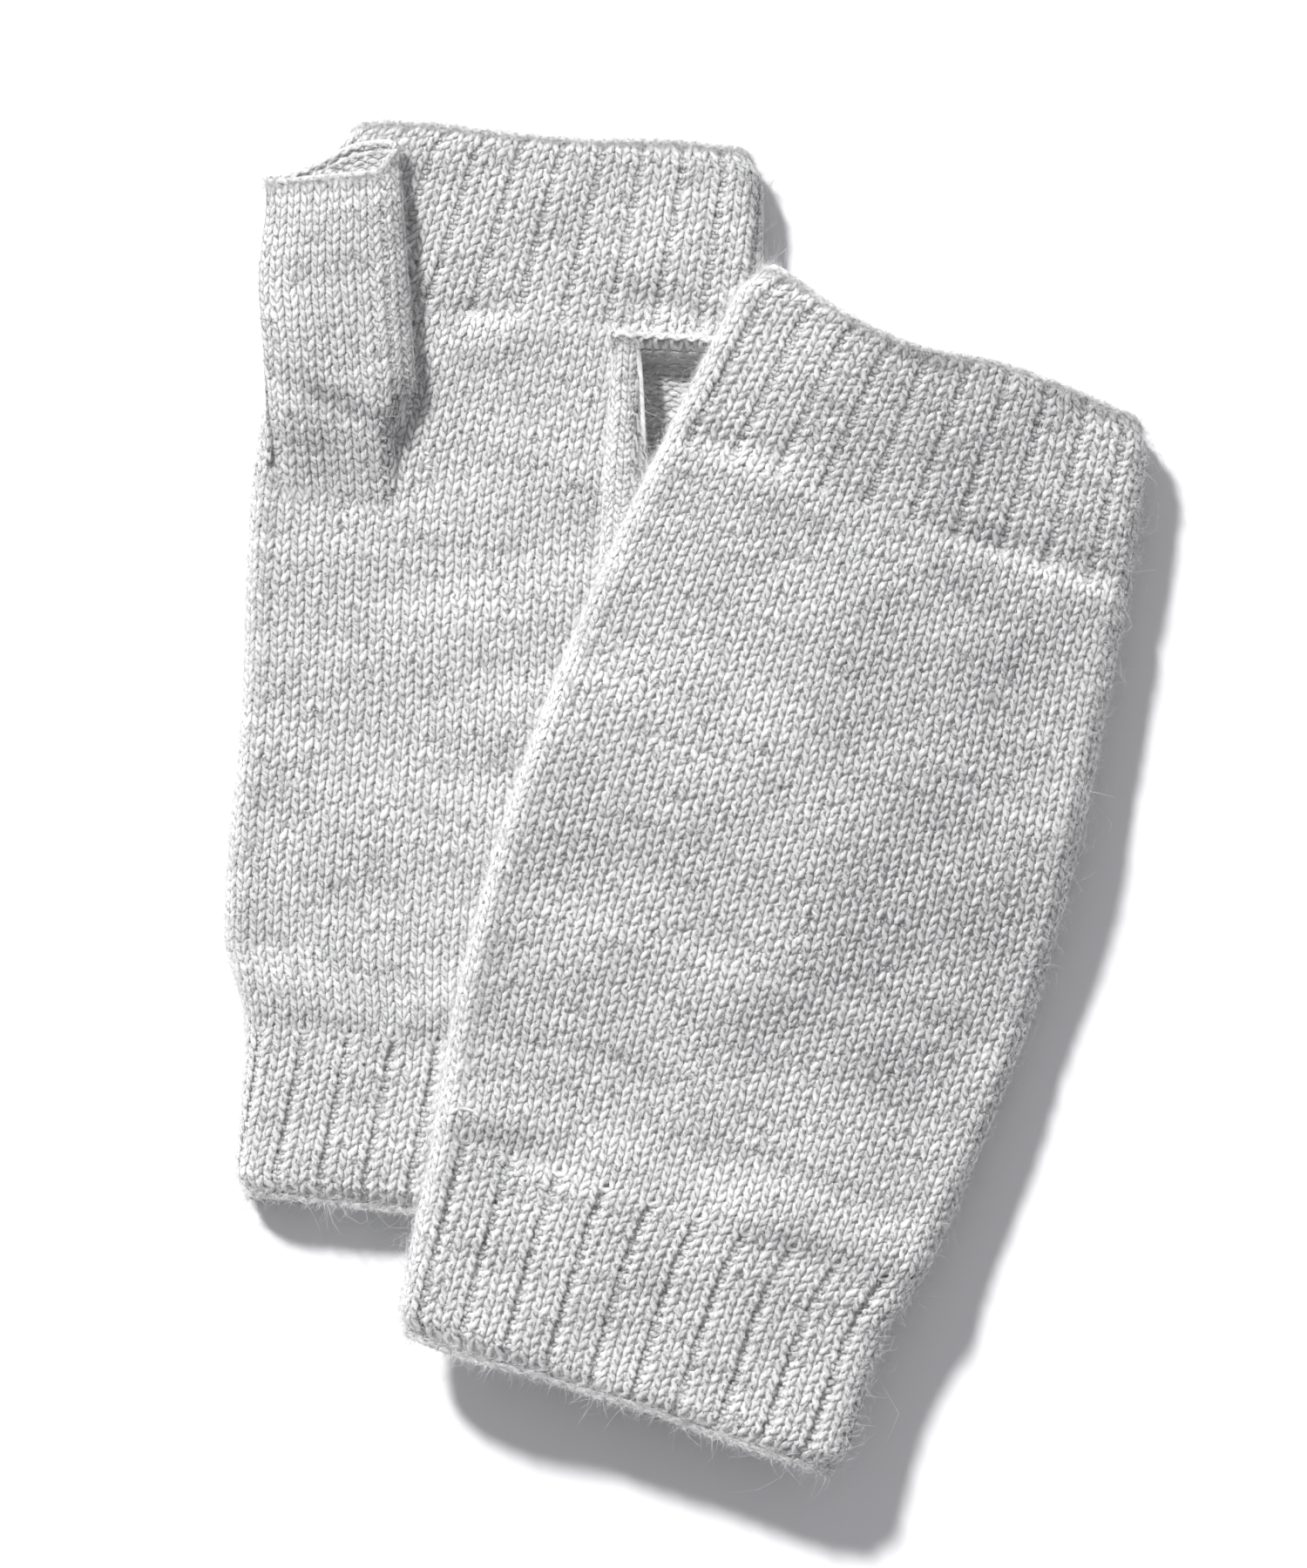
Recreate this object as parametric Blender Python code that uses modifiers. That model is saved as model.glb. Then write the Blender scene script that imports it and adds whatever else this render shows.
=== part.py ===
"""A pair of knitted fingerless gloves laid flat, the right-hand glove across the left-hand one.

The left-hand glove lies palm up and its thumb is folded over the palm. The right-hand glove lies
back of hand up, on top, with its thumb tucked underneath. Each glove is a ribbed wrist, a plain
knitted hand, a ribbed finger end and a thumb tube, with the chains, seams and darning that hold
them together. The hand and thumb tubes are hollow right through.

+Y points to the fingers of the picture plane, +X to the right, +Z up. The floor is z = 0.
Sizes below are in millimetres and are turned into metres when a mesh or a curve is made.
"""
import math

import bpy
from mathutils import Vector

MM = 0.001

# Fabric and clearances
HAND_WALL = 1.4
HAND_THICK = 8.4                      # two walls with the hand cavity between them
THUMB_WALL = 1.3
THUMB_THICK = 7.4
GAP = 0.3
LIFT = HAND_THICK + GAP               # how far the upper glove is raised by the lower one
RAISE = THUMB_THICK + GAP             # and by its own thumb underneath

# Drape of the upper glove
DRAPE = 22.0                          # distance over which it comes down to the floor
THUMB_DRAPE = 22.0
CUFF_SAG = 1.0
SWEPT = ((-26.0, 22.0), (-20.0, 50.0))   # space that the tucked thumb needs, across and along

# Lengths along a glove, from its middle: wrist edge, top of wrist rib, foot of finger rib, edge
WRIST_RIB_TOP = -65.0
FINGER_RIB_FOOT = 67.0
FINGER_EDGE = 100.0

# Thumb tube
THUMB_WIDTH = 29.0
THUMB_LENGTH = 47.5
ELBOW = 11.0                          # the thumb's outer wall starts this much nearer the wrist
ELBOW_RISE = 10.0
HOLE = (22.0, 7.0)                    # passage from hand to thumb, across and along

# Yarn
CHAIN_R = HAND_WALL / 2
THUMB_CHAIN_R = THUMB_WALL / 2
SEAM_R = 0.8
DARN_R = 0.6

# Each glove: middle, lean to the right, wrist edge, and its two sides as (along, across) points.
# end_slant is how much higher the finger edge is on the left side than on the right.
GLOVES = {
    "left": {
        "middle": (-33.04, 21.32), "lean": 4.5, "wrist_edge": -98.5, "end_slant": 0.0,
        "thumb_side": ((-98, -43), (-66, -43.5), (-50, -48.5), (-10, -48.5), (40, -49.5), (101, -38.5)),
        "outer_side": ((-98, 42.5), (-66, 41.5), (-48, 44), (0, 44), (50, 42.5), (101, 39)),
        "thumb_root": (-63.54, 64.62), "thumb_lean": -4.0, "side": 1,
        "mouth_cut": 0.0, "flat_steps": 6,
    },
    "right": {
        "middle": (19.16, -12.98), "lean": 18.3, "wrist_edge": -103.0, "end_slant": 5.0,
        "thumb_side": ((-103, -43), (-66, -47.5), (-38, -51.5), (0, -53), (44, -50), (101, -42)),
        "outer_side": ((-103, 43), (-76, 43), (-62, 46.5), (-5, 50), (56, 44), (101, 37)),
        "thumb_root": (-2.54, 35.82), "thumb_lean": 3.5, "side": -1,
        "mouth_cut": 20.0, "flat_steps": 14,
    },
}

WOOL_LIGHT = (0.62, 0.62, 0.62)
WOOL_SHADE = (0.52, 0.52, 0.53)
YARN_EDGE = (0.66, 0.66, 0.66)


# ---------------------------------------------------------------- small maths

def smooth_step(x):
    """0 below 0, 1 above 1, and an even S between them."""
    x = min(max(x, 0.0), 1.0)
    return x * x * (3 - 2 * x)


def through(points, v):
    """Value at v of a smooth line through (v, value) points, level beyond both ends."""
    if v <= points[0][0]:
        return points[0][1]
    if v >= points[-1][0]:
        return points[-1][1]
    i = max(k for k in range(len(points) - 1) if points[k][0] <= v)
    (v0, a), (v1, b) = points[i], points[i + 1]
    before = points[max(i - 1, 0)]
    after = points[min(i + 2, len(points) - 1)]
    slope_a = (b - before[1]) / (v1 - before[0]) * (v1 - v0)
    slope_b = (after[1] - a) / (after[0] - v0) * (v1 - v0)
    t = (v - v0) / (v1 - v0)
    return (a * (1 + 2 * t) * (1 - t) ** 2 + b * t * t * (3 - 2 * t)
            + slope_a * t * (1 - t) ** 2 - slope_b * t * t * (1 - t))


def to_world(origin, lean, across, along):
    """A point given across and along a leaning axis, on the floor plan."""
    a = math.radians(lean)
    return (origin[0] + across * math.cos(a) + along * math.sin(a),
            origin[1] - across * math.sin(a) + along * math.cos(a))


def to_local(origin, lean, x, y):
    """The inverse of to_world."""
    a = math.radians(lean)
    dx, dy = x - origin[0], y - origin[1]
    return dx * math.cos(a) - dy * math.sin(a), dx * math.sin(a) + dy * math.cos(a)


# ---------------------------------------------------------------- how the gloves lie

def rest_height(side, x, y):
    """Height of a glove's lower face above the floor at a place on the plan."""
    if side == "left":
        return 0.0
    under, over = GLOVES["left"], GLOVES["right"]
    across, along = to_local(under["middle"], under["lean"], x, y)
    past_side = across - through(under["outer_side"], along)
    past_wrist = under["wrist_edge"] - along
    on_lower = 1 - smooth_step(past_side / DRAPE)
    height = (LIFT - CUFF_SAG * smooth_step(past_wrist / 30)) * on_lower
    across, along = to_local(over["thumb_root"], over["thumb_lean"], x, y)
    off = math.hypot(max(SWEPT[0][0] - across, 0, across - SWEPT[0][1]),
                     max(SWEPT[1][0] - along, 0, along - SWEPT[1][1]))
    return height + RAISE * (1 - smooth_step(off / THUMB_DRAPE))


def stadium(low, high, thick, flat_steps, arc_steps=6):
    """Flattened loop from low to high across, as (across, height) points, outward to the right."""
    r = thick / 2
    loop = [(low + r + (high - low - thick) * k / flat_steps, 0.0) for k in range(flat_steps)]
    loop += [(high - r + r * math.sin(math.pi * k / arc_steps), r - r * math.cos(math.pi * k / arc_steps))
             for k in range(arc_steps)]
    loop += [(high - r - (high - low - thick) * k / flat_steps, thick) for k in range(flat_steps)]
    loop += [(low + r - r * math.sin(math.pi * k / arc_steps), r + r * math.cos(math.pi * k / arc_steps))
             for k in range(arc_steps)]
    return loop


def hand_ring(side, along, inset=0.0):
    """Loop round the hand at a distance along it. inset moves the loop in from the outer face."""
    g = GLOVES[side]
    low, high = through(g["thumb_side"], along), through(g["outer_side"], along)
    slant = g["end_slant"] * smooth_step((along - FINGER_RIB_FOOT) / (FINGER_EDGE - FINGER_RIB_FOOT))
    loop = []
    for across, z in stadium(low + inset, high - inset, HAND_THICK - 2 * inset, g["flat_steps"]):
        tilt = -slant * across / (high - low)
        x, y = to_world(g["middle"], g["lean"], across, along + tilt)
        loop.append(Vector((x, y, z + inset + rest_height(side, x, y))))
    return loop


def thumb_ring(side, t, inset=0.0, beyond=0.0):
    """Loop round the thumb. t runs from 0 at its root to 1 at its open end.

    The wall next to the hand starts and may end short, so the root opens onto the hand and the
    tucked thumb's mouth is cut back. beyond moves the loop past the end, for the chain there.
    """
    g = GLOVES[side]
    clear = HAND_THICK + GAP if g["side"] > 0 else rest_height(side, *g["thumb_root"]) - GAP
    loop = []
    half = THUMB_WIDTH / 2 - inset
    for across, b in stadium(-half, half, THUMB_THICK - 2 * inset, 6):
        b += inset
        far = b / THUMB_THICK
        start = ELBOW * (0.5 - far)
        end = THUMB_LENGTH - g["mouth_cut"] * (1 - far)
        along = start + (end - start) * t + beyond
        rise = 0.25 + 0.75 * smooth_step((along - start) / ELBOW_RISE)
        x, y = to_world(g["thumb_root"], g["thumb_lean"], across, along)
        loop.append(Vector((x, y, clear + g["side"] * (inset + (b - inset) * rise))))
    return loop


# ---------------------------------------------------------------- objects

def clear_scene():
    for obj in list(bpy.data.objects):
        bpy.data.objects.remove(obj, do_unlink=True)


def collection(name):
    col = bpy.data.collections.new(name)
    bpy.context.scene.collection.children.link(col)
    return col


def material(name, colour, roughness):
    mat = bpy.data.materials.new(name)
    mat.use_nodes = True
    shader = mat.node_tree.nodes["Principled BSDF"]
    shader.inputs["Base Color"].default_value = (*colour, 1)
    shader.inputs["Roughness"].default_value = roughness
    shader.inputs["Metallic"].default_value = 0.0
    return mat


def add(name, data, col, mat, parent):
    """Put mesh or curve data, made about the parent's origin, into the scene."""
    obj = bpy.data.objects.new(name, data)
    obj.data.materials.append(mat)
    obj.parent = parent
    col.objects.link(obj)
    return obj


def pivot(name, x, y, z, col):
    """Empty that a body's pieces hang from, on the axis they turn or slide about."""
    empty = bpy.data.objects.new(name, None)
    empty.location = (x * MM, y * MM, z * MM)
    empty.hide_render = True
    col.objects.link(empty)
    return empty


def local(points, parent):
    origin = Vector(parent.location)
    return [Vector(p) * MM - origin for p in points]


def knitted_tube(name, rings, wall, outward, col, mat, parent):
    """Open surface lofted through the loops, thickened inwards to the wall."""
    count = len(rings[0])
    verts = [p for ring in rings for p in local(ring, parent)]
    faces = []
    for k in range(len(rings) - 1):
        for i in range(count):
            j = (i + 1) % count
            quad = (k * count + i, k * count + j, (k + 1) * count + j, (k + 1) * count + i)
            faces.append(quad if outward else quad[::-1])
    mesh = bpy.data.meshes.new(name)
    mesh.from_pydata(verts, [], faces)
    obj = add(name, mesh, col, mat, parent)
    thicken = obj.modifiers.new("wall", "SOLIDIFY")
    thicken.thickness = wall * MM
    thicken.offset = -1
    thicken.use_even_offset = True
    return obj


def strand(name, points, radius, closed, col, mat, parent):
    """Yarn strand: a curve with a round section."""
    curve = bpy.data.curves.new(name, "CURVE")
    curve.dimensions = "3D"
    curve.bevel_depth = radius * MM
    curve.bevel_resolution = 1
    curve.use_fill_caps = True
    spline = curve.splines.new("POLY")
    spline.points.add(len(points) - 1)
    for point, p in zip(spline.points, local(points, parent)):
        point.co = (*p, 1)
    spline.use_cyclic_u = closed
    return add(name, curve, col, mat, parent)


def passage_cutter(side, col):
    """Oval prism that opens the wall between the hand and the root of the thumb."""
    g = GLOVES[side]
    x, y = g["thumb_root"]
    wall_mid = HAND_THICK - HAND_WALL / 2 if side == "left" else rest_height(side, x, y) + HAND_WALL / 2
    bpy.ops.mesh.primitive_cylinder_add(vertices=20, radius=0.5, depth=1)
    cutter = bpy.context.active_object
    cutter.name = side + "_thumb_passage_cutter"
    for vert in cutter.data.vertices:
        vert.co = Vector((vert.co.x * HOLE[0], vert.co.y * HOLE[1], vert.co.z * 3 * HAND_WALL)) * MM
    cutter.location = (x * MM, y * MM, wall_mid * MM)
    cutter.rotation_euler.z = -math.radians(g["thumb_lean"])
    for owner in list(cutter.users_collection):
        owner.objects.unlink(cutter)
    col.objects.link(cutter)
    cutter.hide_render = True
    cutter.display_type = "WIRE"
    return cutter


# ---------------------------------------------------------------- the pieces of one glove

def stations(start, end, count):
    return [start + (end - start) * k / (count - 1) for k in range(count)]


def hand_pieces(side, col, cutters, mats, body):
    """Wrist rib, plain hand and finger rib, with the chains at both edges."""
    g = GLOVES[side]
    wrist, rib, plain, edge = g["wrist_edge"], WRIST_RIB_TOP, FINGER_RIB_FOOT, FINGER_EDGE
    spans = {
        "wrist_rib": (wrist, rib - GAP / 2, 6, mats["rib"]),
        "hand_tube": (rib + GAP / 2, plain - GAP / 2, 16, mats["plain"]),
        "finger_rib": (plain + GAP / 2, edge, 6, mats["rib"]),
    }
    for piece, (start, end, count, mat) in spans.items():
        rings = [hand_ring(side, v) for v in stations(start, end, count)]
        obj = knitted_tube(side + "_" + piece, rings, HAND_WALL, False, col, mat, body)
        if piece == "hand_tube":
            cut = obj.modifiers.new("thumb passage", "BOOLEAN")
            cut.operation = "DIFFERENCE"
            cut.solver = "EXACT"
            cut.object = passage_cutter(side, cutters)
    reach = GAP + CHAIN_R
    for piece, along in (("wrist_edge", wrist - reach), ("finger_edge", edge + reach)):
        strand(side + "_" + piece, hand_ring(side, along, CHAIN_R), CHAIN_R, True, col, mats["edge"], body)


def side_seam(side, col, mats, body):
    """Linked seam inside the little finger's side, from the wrist to the finger edge."""
    g = GLOVES[side]
    inset = HAND_WALL + 3 * GAP + SEAM_R
    points = []
    for along in stations(g["wrist_edge"] + 1, FINGER_EDGE - 1, 14):
        across = through(g["outer_side"], along) - inset
        x, y = to_world(g["middle"], g["lean"], across, along)
        points.append((x, y, HAND_THICK / 2 + rest_height(side, x, y)))
    strand(side + "_side_seam", points, SEAM_R, False, col, mats["edge"], body)


def thumb_pieces(side, col, mats, body):
    """Thumb tube, the seam round its root and the chain round its open end."""
    g = GLOVES[side]
    rings = [thumb_ring(side, t) for t in stations(0, 1, 10)]
    knitted_tube(side + "_thumb_tube", rings, THUMB_WALL, side == "right", col, mats["plain"], body)

    reach = GAP + THUMB_CHAIN_R
    past_slant = 0.07 * g["mouth_cut"]
    slope = math.hypot(g["mouth_cut"], THUMB_THICK) / THUMB_THICK
    mouth = thumb_ring(side, 1, THUMB_CHAIN_R, reach * slope + past_slant)
    strand(side + "_thumb_edge", mouth, THUMB_CHAIN_R, True, col, mats["edge"], body)

    half, thick = THUMB_WIDTH / 2 + reach, ELBOW + 2 * reach
    face = HAND_THICK + reach if side == "left" else rest_height(side, *g["thumb_root"]) - reach
    outline = [(across, thick / 2 - h) for across, h in stadium(-half, half, thick, 6)]
    root = outline[9:22]
    points = [(*to_world(g["thumb_root"], g["thumb_lean"], *p), face) for p in root]
    strand(side + "_thumb_seam", points, THUMB_CHAIN_R, False, col, mats["edge"], body)


def crotch_darn(side, col, mats, body):
    """Few stitches that close the corner between thumb and palm."""
    g = GLOVES[side]
    points = []
    for k in range(9):
        across = THUMB_WIDTH / 2 + 4.2 + 0.9 * math.sin(k * math.pi / 2)
        along = -5 + 1.1 * k
        x, y = to_world(g["thumb_root"], g["thumb_lean"], across, along)
        off = GAP + DARN_R
        face = HAND_THICK + off if side == "left" else rest_height(side, x, y) - off
        points.append((x, y, face))
    strand(side + "_crotch_darn", points, DARN_R, False, col, mats["edge"], body)


def darned_end(side, col, mats, body):
    """Yarn end worked in at the top of the wrist rib, near the thumb side."""
    g = GLOVES[side]
    points = []
    for k in range(7):
        turn = math.pi * (0.15 + 0.85 * k / 6)
        across, along = -42.5 + 2.6 * math.cos(turn), WRIST_RIB_TOP + 3 + 1.8 * math.sin(turn)
        x, y = to_world(g["middle"], g["lean"], across, along)
        points.append((x, y, HAND_THICK + GAP + DARN_R + rest_height(side, x, y)))
    strand(side + "_darned_end", points, DARN_R, False, col, mats["edge"], body)


def build():
    clear_scene()
    gloves = collection("fingerless_gloves")
    cutters = collection("cutters")
    mats = {
        "plain": material("plain_knit", WOOL_LIGHT, 0.95),
        "rib": material("rib_knit", WOOL_SHADE, 0.95),
        "edge": material("edge_yarn", YARN_EDGE, 0.9),
    }
    for side, g in GLOVES.items():
        hand = pivot(side + "_hand_origin", *g["middle"], 0, gloves)
        thumb = pivot(side + "_thumb_pivot", *g["thumb_root"], HAND_THICK, gloves)
        hand_pieces(side, gloves, cutters, mats, hand)
        side_seam(side, gloves, mats, hand)
        thumb_pieces(side, gloves, mats, thumb)
        crotch_darn(side, gloves, mats, hand)
        if side == "right":
            darned_end(side, gloves, mats, hand)


build()
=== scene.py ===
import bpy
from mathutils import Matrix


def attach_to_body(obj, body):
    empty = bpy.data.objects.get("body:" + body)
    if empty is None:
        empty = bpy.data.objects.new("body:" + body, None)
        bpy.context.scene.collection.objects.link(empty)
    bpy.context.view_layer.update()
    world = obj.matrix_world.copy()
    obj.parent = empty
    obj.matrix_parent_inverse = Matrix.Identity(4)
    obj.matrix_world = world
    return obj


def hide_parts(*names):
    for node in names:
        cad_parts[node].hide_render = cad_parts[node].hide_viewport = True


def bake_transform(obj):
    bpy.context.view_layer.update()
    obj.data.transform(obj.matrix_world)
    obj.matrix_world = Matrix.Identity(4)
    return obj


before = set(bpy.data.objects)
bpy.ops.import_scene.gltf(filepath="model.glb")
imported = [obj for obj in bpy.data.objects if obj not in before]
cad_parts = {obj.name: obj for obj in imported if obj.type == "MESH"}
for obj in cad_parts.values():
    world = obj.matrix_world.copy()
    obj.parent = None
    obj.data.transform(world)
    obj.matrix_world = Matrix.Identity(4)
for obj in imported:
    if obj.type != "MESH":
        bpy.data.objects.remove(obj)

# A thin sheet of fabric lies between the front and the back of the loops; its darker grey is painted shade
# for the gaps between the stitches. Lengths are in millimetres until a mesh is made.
"""Looks of a pair of knitted fingerless gloves, laid flat one across the other.

Every stitch is a loop of yarn: a course is one closed yarn that runs round the tube through its
wales. Loops are laid out on a flat chart in wales and courses, and bent onto the glove's surface.
A thin sheet of fabric lies between the front and the back of the loops. Lengths are in millimetres
until a mesh is made.
"""
import math

import bpy
import numpy as np
from mathutils import Vector

MM = 0.001
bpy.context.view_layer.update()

# ---------------------------------------------------------------- sizes

HAND_THICK = 8.4              # flattened tubes, as thick as in the CAD
THUMB_THICK = 7.4
GAP = 0.3                     # between tubes that lie on each other
LIFT = HAND_THICK + GAP       # height of the upper glove on the lower one
RAISE = THUMB_THICK + GAP     # further height over its own tucked thumb
DRAPE = 76.0                  # width over which it comes down beside the lower glove
THUMB_DRAPE = 82.0            # and beside the tucked thumb
CUFF_SAG = 1.0                # how far it sinks beyond the lower glove's wrist
SWEPT = ((-26.0, 22.0), (-20.0, 50.0))   # place of the tucked thumb, across and along from its root
WRIST_RIB_TOP = -65.0         # places along a hand, from its middle towards the fingers
FINGER_RIB_FOOT = 67.0
FINGER_EDGE = 100.0
THUMB_WIDTH = 29.0
THUMB_LENGTH = 47.5           # root to open end along the wall that lies on the hand
THUMB_KNIT = 50.0             # scale along a thumb: 0 at its root, this at its open end

# Knitting
HAND_WALES = 66
THUMB_WALES = 24
COURSE = 1.87                 # height of one course
YARN_R = 0.59
YARN_SIDES = 5
YARN_FLAT = 0.66              # height of a yarn against its width, pressed in the cloth
RIB_CLOSE = 0.22              # how far the knitted wales of the rib close over the purled one
WRIST_RIB_DEPTH = 0.66        # how much deeper the purled wale lies, and the ground under it
FINGER_RIB_DEPTH = 0.42
EDGE_R = 0.50                 # yarn of the chains at the rims
DARN_R = 0.42
SEAM_R = 0.50
SOFT = 0.8                    # how far fuzz evens out the light on a yarn
RIM_ROUND = 2.6               # how much narrower a rim is than the tube behind it
GROUND_PLANE = -0.76          # thin sheet behind the loops
GROUND_HALF = 0.05            # half its thickness
MID_PLANE = -0.62             # middle of the loops, below the outer face
TABLE = 0.02                  # yarn lies pressed flat on the table at this height
STREAK_SHIFT = 61.0           # courses between the streaks of one yarn batch and the next

# Loose fibres
FIBRE_R = 0.024
FIBRE_TABLE = 0.06            # lowest middle of a fibre, just clear of the table
FIBRE_COUNTS = {"face": 12500, "halo": 9500, "fold": 10000, "rim": 6500, "thumb": 8000, "thumb_rim": 2500}
RIM_FUZZ = 1.2                # width of the fuzzy band at a rim

# Light and camera
SUN_POWER, SUN_WIDTH, SUN_AZIMUTH, SUN_ELEVATION = 5.3, 6, 122, 33
FILL, FILL_COLOUR = 0.37, (0.98, 0.98, 1.02, 1)
CAMERA_AT = (-0.0066, 0.0022, 1.3)
FRAME_WIDTH = 0.240           # what the camera sees from side to side on the table

GLOVES = {
    "left": {
        "middle": (-33.04, 21.32), "lean": 4.5, "wrist_edge": -98.5, "end_slant": 0.0,
        # places along the glove, and how far its sides lie from its middle line there
        "thumb_side": ((-98, -43), (-66, -43.5), (-50, -48.5), (-10, -48.5), (40, -49.5), (101, -38.5)),
        "outer_side": ((-98, 42.5), (-66, 41.5), (-48, 44), (0, 44), (50, 42.5), (101, 39)),
        "thumb_root": (-63.54, 64.62), "thumb_lean": -4.0, "up": 1, "rim_dip": 0.6,
        "thumb_courses": 32, "thumb_flat": (0.0662, 0.0520),
        # lean of the wales beyond that of the sides, in degrees, at places along the glove
        "bias": ((-98, 8), (-66, 7), (-50, 1), (20, 1), (50, 6), (101, 5)),
    },
    "right": {
        "middle": (19.16, -12.98), "lean": 18.3, "wrist_edge": -103.0, "end_slant": 5.0,
        "thumb_side": ((-103, -43), (-66, -47.5), (-38, -51.5), (0, -53), (44, -50), (101, -42)),
        "outer_side": ((-103, 43), (-76, 43), (-62, 46.5), (-5, 50), (56, 44), (101, 37)),
        "thumb_root": (-2.54, 35.82), "thumb_lean": 3.5, "up": -1, "rim_dip": 4.6,
        "thumb_courses": 28, "thumb_flat": (0.0662, 0.0475), "mouth_cut": 24.0,
        "bias": ((-103, 3), (-66, 2), (-50, -1), (40, -1), (66, 3), (101, 3)),
    },
}


# ---------------------------------------------------------------- small maths, on arrays

def smooth_step(x):
    """0 to 1 with level ends, as x goes from 0 to 1."""
    x = np.clip(x, 0.0, 1.0)
    return x * x * (3 - 2 * x)


def through(points, v):
    """Values at v of a smooth line through (v, value) points, level beyond both ends."""
    knots = np.array(points, float)
    at, value = knots[:, 0], knots[:, 1]
    v = np.clip(np.asarray(v, float), at[0], at[-1])
    i = np.clip(np.searchsorted(at, v, side="right") - 1, 0, len(at) - 2)
    before, after = np.maximum(i - 1, 0), np.minimum(i + 2, len(at) - 1)
    span = at[i + 1] - at[i]
    slope_a = (value[i + 1] - value[before]) / (at[i + 1] - at[before]) * span
    slope_b = (value[after] - value[i]) / (at[after] - at[i]) * span
    t = (v - at[i]) / span
    return (value[i] * (1 + 2 * t) * (1 - t) ** 2 + value[i + 1] * t * t * (3 - 2 * t)
            + slope_a * t * (1 - t) ** 2 - slope_b * t * t * (1 - t))


def to_world(origin, lean, across, along):
    """Place on the table of a place on a glove, both in mm."""
    a = math.radians(lean)
    return (origin[0] + across * math.cos(a) + along * math.sin(a),
            origin[1] - across * math.sin(a) + along * math.cos(a))


def to_local(origin, lean, x, y):
    """Place on a glove of a place on the table, both in mm."""
    a = math.radians(lean)
    dx, dy = x - origin[0], y - origin[1]
    return dx * math.cos(a) - dy * math.sin(a), dx * math.sin(a) + dy * math.cos(a)


def waves(seed, x, y, length, octaves=2):
    """Smooth random height in about -1 to 1 from crossing waves of random direction."""
    r = np.random.default_rng(seed)
    total = np.zeros(np.broadcast(x, y).shape)
    for octave in range(octaves):
        for _ in range(5):
            a, phase = r.uniform(0, math.tau), r.uniform(0, math.tau)
            k = math.tau * 2 ** octave / (length * r.uniform(0.8, 1.3))
            total += np.sin(k * (x * math.cos(a) + y * math.sin(a)) + phase) * 0.36 / 2 ** octave
    return total


def hump(across, along, at, size, turn=0.0):
    """Rounded hump, 1 at its middle, stretched to size (across, along) and turned in degrees."""
    a = math.radians(turn)
    dx, dy = across - at[0], along - at[1]
    u = (dx * math.cos(a) + dy * math.sin(a)) / size[0]
    v = (-dx * math.sin(a) + dy * math.cos(a)) / size[1]
    return np.exp(-u * u - v * v)


def ridge(x, middle, width):
    """Rounded ridge, 1 at its middle."""
    return np.exp(-((x - middle) / width) ** 2)


# ---------------------------------------------------------------- surfaces

def rest_height(side, x, y):
    """Height of a glove's lower face above the floor at a place on the plan."""
    if side == "left":
        return np.zeros(np.shape(x))
    under, over = GLOVES["left"], GLOVES["right"]
    across, along = to_local(under["middle"], under["lean"], x, y)
    on_lower = 1 - smooth_step((across - through(under["outer_side"], along)) / DRAPE)
    height = (LIFT - CUFF_SAG * smooth_step((under["wrist_edge"] - along) / 30)) * on_lower
    across, along = to_local(over["thumb_root"], over["thumb_lean"], x, y)
    off = np.hypot(np.maximum(np.maximum(SWEPT[0][0] - across, across - SWEPT[0][1]), 0),
                   np.maximum(np.maximum(SWEPT[1][0] - along, along - SWEPT[1][1]), 0))
    return height + RAISE * (1 - smooth_step(off / THUMB_DRAPE))


def flattened(q, low, high, thick):
    """Point on a flattened loop at fraction q of its length, from the low side over the top."""
    r = thick / 2
    flat = high - low - 2 * r
    s = (q % 1.0) * 2 * (flat + math.pi * r)
    quarter = math.pi * r / 2
    parts = [s < quarter, s < quarter + flat, s < 3 * quarter + flat, s < 3 * quarter + 2 * flat]
    t = s / r
    t_right = (s - quarter - flat) / r
    t_left = (s - 3 * quarter - 2 * flat) / r
    across = np.select(parts, [low + r - r * np.cos(t), low + r + s - quarter,
                               high - r + r * np.sin(t_right), high - r - (s - 3 * quarter - flat)],
                       low + r - r * np.sin(t_left))
    z = np.select(parts, [r + r * np.sin(t), thick + 0 * s, r + r * np.cos(t_right), 0 * s],
                  r - r * np.cos(t_left))
    return across, z


def hand_relief(side, across, along):
    """How far the visible face stands above or below the flattened tube.

    Soft waves all over, a ridge and a ledge where the plain knit meets each rib, and rolled rims.
    """
    n = 0 if side == "left" else 1
    rise = 0.45 * waves(11 + n, across, along, 42)
    wobble = 1.8 * waves(5 + n, across, along * 0, 60)
    strong = smooth_step(0.5 + 0.8 * waves(15 + n, across, along * 0, 45))
    past = along - WRIST_RIB_TOP + wobble
    rise += (0.2 + 0.6 * strong) * (ridge(past, 4.5, 5.0) - 0.7 * ridge(past, -1.5, 3.5))
    past = along - FINGER_RIB_FOOT + wobble
    rise += (0.1 + 0.7 * strong) * (0.6 * ridge(past, -4.5, 4.5) - ridge(past, 1, 2.6))
    rise -= 1.5 * (1 - smooth_step((along - GLOVES[side]["wrist_edge"]) / 4.0))
    rise -= 1.0 * (1 - smooth_step((FINGER_EDGE - along) / 3.5))
    return rise


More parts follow.
